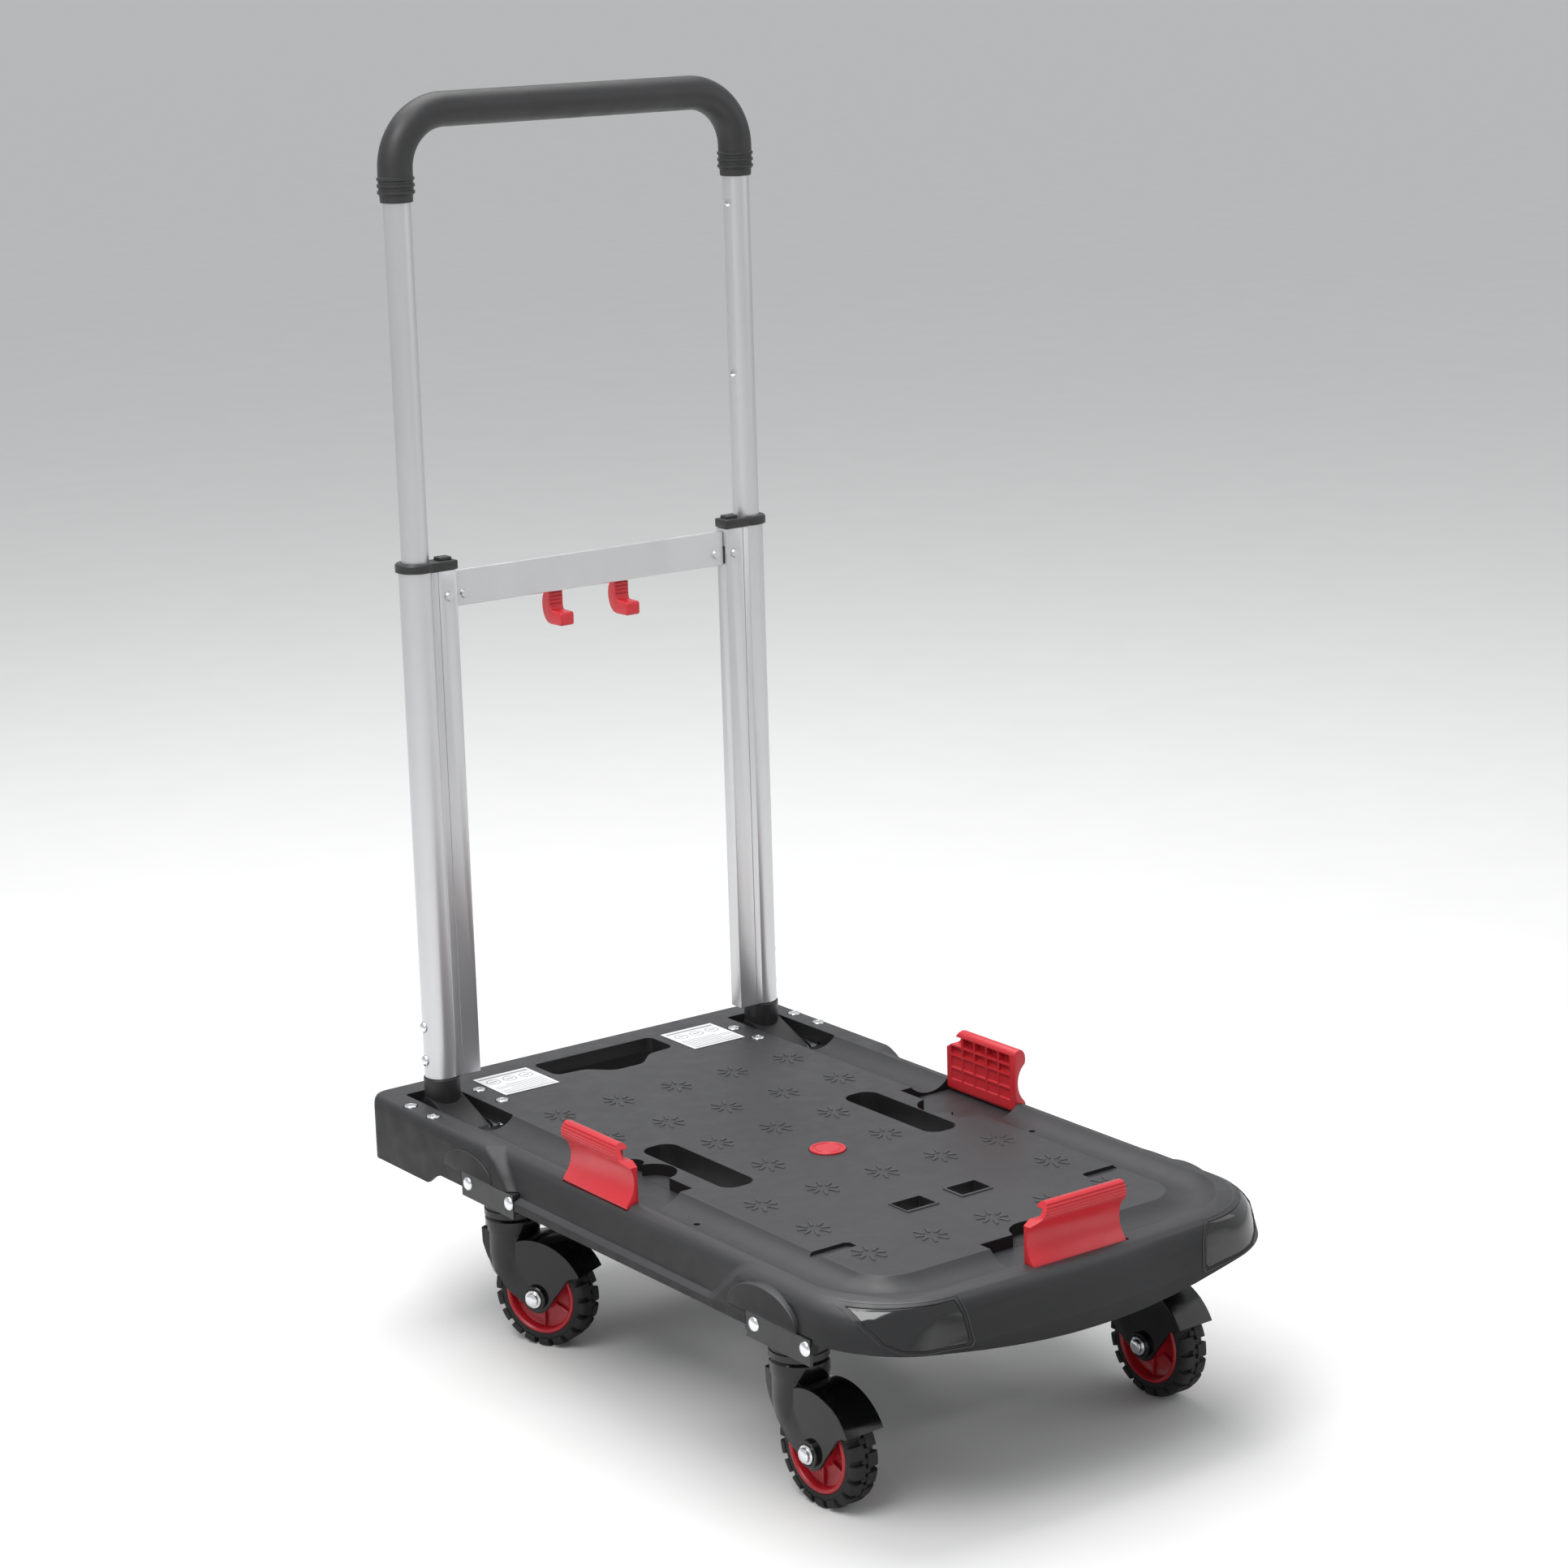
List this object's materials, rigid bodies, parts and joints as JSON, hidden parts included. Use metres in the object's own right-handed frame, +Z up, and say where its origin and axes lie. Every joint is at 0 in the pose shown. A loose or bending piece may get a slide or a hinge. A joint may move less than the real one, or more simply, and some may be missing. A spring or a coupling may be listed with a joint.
{
  "type": "folding platform cart",
  "caption": "Folding platform trolley with a moulded deck, a telescopic fold-down handle, flip-up load stops and swivelling casters that fold flat under the deck.",
  "frame": {"origin": "ground point under the middle of the bounding box", "axes": "+Z up, +Y towards the handle end, -Y towards the bowed front end, X across the deck"},
  "size_m": [0.4132, 0.6887, 0.9975],
  "materials": {
    "deck_plastic": "moulded, fine texture",
    "insert_gloss": "high gloss",
    "red_plastic": "moulded, satin",
    "hub_plastic": "moulded, satin",
    "label_paper": "printed vinyl",
    "zinc_steel": "zinc plated",
    "black_steel": "black painted",
    "fork_plastic": "satin gloss",
    "tyre_rubber": "matt",
    "alloy": "satin anodised",
    "black_plastic": "moulded"
  },
  "bodies": {
    "deck": {"deck_shell": "deck_plastic", "corner_insert_left": "insert_gloss", "corner_insert_right": "insert_gloss", "centre_disc": "red_plastic", "label_left": "label_paper", "label_right": "label_paper", "hinge_bracket_left": "zinc_steel", "hinge_bracket_right": "zinc_steel", "hinge_pin_left": "zinc_steel", "hinge_pin_right": "zinc_steel", "caster_bracket_front_left": "black_steel", "caster_bracket_front_right": "black_steel", "caster_bracket_rear_left": "black_steel", "caster_bracket_rear_right": "black_steel", "caster_pin_front_left": "zinc_steel", "caster_pin_front_right": "zinc_steel", "caster_pin_rear_left": "zinc_steel", "caster_pin_rear_right": "zinc_steel"},
    "handle_frame": {"knuckle_left": "black_plastic", "lower_upright_left": "alloy", "collar_left": "black_plastic", "hook_left": "red_plastic", "knuckle_right": "black_plastic", "lower_upright_right": "alloy", "collar_right": "black_plastic", "hook_right": "red_plastic", "crossbar": "alloy"},
    "upper_handle": {"handle_tube": "alloy", "grip": "black_plastic"},
    "button_left": {"release_button_left": "black_plastic"},
    "lock_left": {"lock_pin_left": "zinc_steel"},
    "button_right": {"release_button_right": "black_plastic"},
    "lock_right": {"lock_pin_right": "zinc_steel"},
    "stop_left": {"stop_left": "red_plastic"},
    "stop_right": {"stop_right": "red_plastic"},
    "stop_front": {"stop_front": "red_plastic"},
    "caster_base_front_left": {"caster_base_front_left": "black_steel"},
    "fork_front_left": {"fork_front_left": "fork_plastic", "axle_front_left": "zinc_steel"},
    "wheel_front_left": {"hub_front_left": "hub_plastic", "tyre_front_left": "tyre_rubber"},
    "caster_base_front_right": {"caster_base_front_right": "black_steel"},
    "fork_front_right": {"fork_front_right": "fork_plastic", "axle_front_right": "zinc_steel"},
    "wheel_front_right": {"hub_front_right": "hub_plastic", "tyre_front_right": "tyre_rubber"},
    "caster_base_rear_left": {"caster_base_rear_left": "black_steel"},
    "fork_rear_left": {"fork_rear_left": "fork_plastic", "axle_rear_left": "zinc_steel"},
    "wheel_rear_left": {"hub_rear_left": "hub_plastic", "tyre_rear_left": "tyre_rubber"},
    "caster_base_rear_right": {"caster_base_rear_right": "black_steel"},
    "fork_rear_right": {"fork_rear_right": "fork_plastic", "axle_rear_right": "zinc_steel"},
    "wheel_rear_right": {"hub_rear_right": "hub_plastic", "tyre_rear_right": "tyre_rubber"},
    "push_rod_left": {"push_rod_left": "black_steel"},
    "push_rod_right": {"push_rod_right": "black_steel"}
  },
  "joints": [
    {"name": "handle_fold", "type": "hinge", "parent": "deck", "child": "handle_frame", "pos_m": [0, 0.25325, 0.15475], "axis": [1, 0, 0], "range_deg": [0, 90]},
    {"name": "handle_telescope", "type": "slide", "parent": "handle_frame", "child": "upper_handle", "axis": [0, 0, -1], "range_m": [0, 0.283]},
    {"name": "release_button_left", "type": "slide", "parent": "handle_frame", "child": "button_left", "axis": [0, 0, -1], "range_m": [0, 0.003], "stiffness_N_per_m": 300, "springref_m": -0.001},
    {"name": "lock_retract_left", "type": "slide", "parent": "handle_frame", "child": "lock_left", "axis": [0.9664, -0.2571, 0], "range_m": [0, 0.0025]},
    {"name": "release_button_right", "type": "slide", "parent": "handle_frame", "child": "button_right", "axis": [0, 0, -1], "range_m": [0, 0.003], "stiffness_N_per_m": 300, "springref_m": -0.001},
    {"name": "lock_retract_right", "type": "slide", "parent": "handle_frame", "child": "lock_right", "axis": [-0.9664, -0.2571, 0], "range_m": [0, 0.0025]},
    {"name": "stop_left_fold", "type": "hinge", "parent": "deck", "child": "stop_left", "pos_m": [-0.1865, 0.021, 0.176], "axis": [0, 1, 0], "range_deg": [0, 90]},
    {"name": "stop_right_fold", "type": "hinge", "parent": "deck", "child": "stop_right", "pos_m": [0.1865, 0.014, 0.176], "axis": [0, -1, 0], "range_deg": [0, 90]},
    {"name": "stop_front_fold", "type": "hinge", "parent": "deck", "child": "stop_front", "pos_m": [0.0025, -0.3135, 0.176], "axis": [-1, 0, 0], "range_deg": [0, 90]},
    {"name": "caster_fold_front_left", "type": "hinge", "parent": "deck", "child": "caster_base_front_left", "pos_m": [-0.145, -0.1949, 0.1305], "axis": [0, -1, 0], "range_deg": [0, 90]},
    {"name": "caster_swivel_front_left", "type": "hinge", "parent": "caster_base_front_left", "child": "fork_front_left", "pos_m": [-0.1601, -0.1949, 0.106], "axis": [0, 0, 1], "continuous": true},
    {"name": "wheel_spin_front_left", "type": "hinge", "parent": "fork_front_left", "child": "wheel_front_left", "pos_m": [-0.15856, -0.22566, 0.04352], "axis": [0.9988, 0.05, 0], "continuous": true},
    {"name": "caster_fold_front_right", "type": "hinge", "parent": "deck", "child": "caster_base_front_right", "pos_m": [0.145, -0.1949, 0.1305], "axis": [0, 1, 0], "range_deg": [0, 90]},
    {"name": "caster_swivel_front_right", "type": "hinge", "parent": "caster_base_front_right", "child": "fork_front_right", "pos_m": [0.1601, -0.1949, 0.106], "axis": [0, 0, 1], "continuous": true},
    {"name": "wheel_spin_front_right", "type": "hinge", "parent": "fork_front_right", "child": "wheel_front_right", "pos_m": [0.16072, -0.22569, 0.04352], "axis": [0.9998, 0.02, 0], "continuous": true},
    {"name": "caster_fold_rear_left", "type": "hinge", "parent": "deck", "child": "caster_base_rear_left", "pos_m": [-0.145, 0.1969, 0.1305], "axis": [0, -1, 0], "range_deg": [0, 90]},
    {"name": "caster_swivel_rear_left", "type": "hinge", "parent": "caster_base_rear_left", "child": "fork_rear_left", "pos_m": [-0.1601, 0.1969, 0.106], "axis": [0, 0, 1], "continuous": true},
    {"name": "wheel_spin_rear_left", "type": "hinge", "parent": "fork_rear_left", "child": "wheel_rear_left", "pos_m": [-0.14754, 0.16878, 0.04352], "axis": [0.9131, 0.4078, 0], "continuous": true},
    {"name": "caster_fold_rear_right", "type": "hinge", "parent": "deck", "child": "caster_base_rear_right", "pos_m": [0.145, 0.1969, 0.1305], "axis": [0, 1, 0], "range_deg": [0, 90]},
    {"name": "caster_swivel_rear_right", "type": "hinge", "parent": "caster_base_rear_right", "child": "fork_rear_right", "pos_m": [0.1601, 0.1969, 0.106], "axis": [0, 0, 1], "continuous": true},
    {"name": "wheel_spin_rear_right", "type": "hinge", "parent": "fork_rear_right", "child": "wheel_rear_right", "pos_m": [0.16501, 0.16649, 0.04352], "axis": [0.9872, 0.1593, 0], "continuous": true},
    {"name": "push_rod_left", "type": "slide", "parent": "deck", "child": "push_rod_left", "axis": [0, -1, 0], "range_m": [0, 0.0185]},
    {"name": "push_rod_right", "type": "slide", "parent": "deck", "child": "push_rod_right", "axis": [0, -1, 0], "range_m": [0, 0.0185]}
  ],
  "couplings": [
    {"joint": "lock_retract_left", "follows": "release_button_left", "ratio": 0.833},
    {"joint": "lock_retract_right", "follows": "release_button_right", "ratio": 0.833},
    {"joint": "caster_fold_front_left", "follows": "handle_fold", "ratio": 1},
    {"joint": "caster_fold_front_right", "follows": "handle_fold", "ratio": 1},
    {"joint": "caster_fold_rear_left", "follows": "handle_fold", "ratio": 1},
    {"joint": "caster_fold_rear_right", "follows": "handle_fold", "ratio": 1},
    {"joint": "push_rod_left", "follows": "handle_fold", "m_per_rad": 0.011459},
    {"joint": "push_rod_right", "follows": "handle_fold", "m_per_rad": 0.011459}
  ]
}
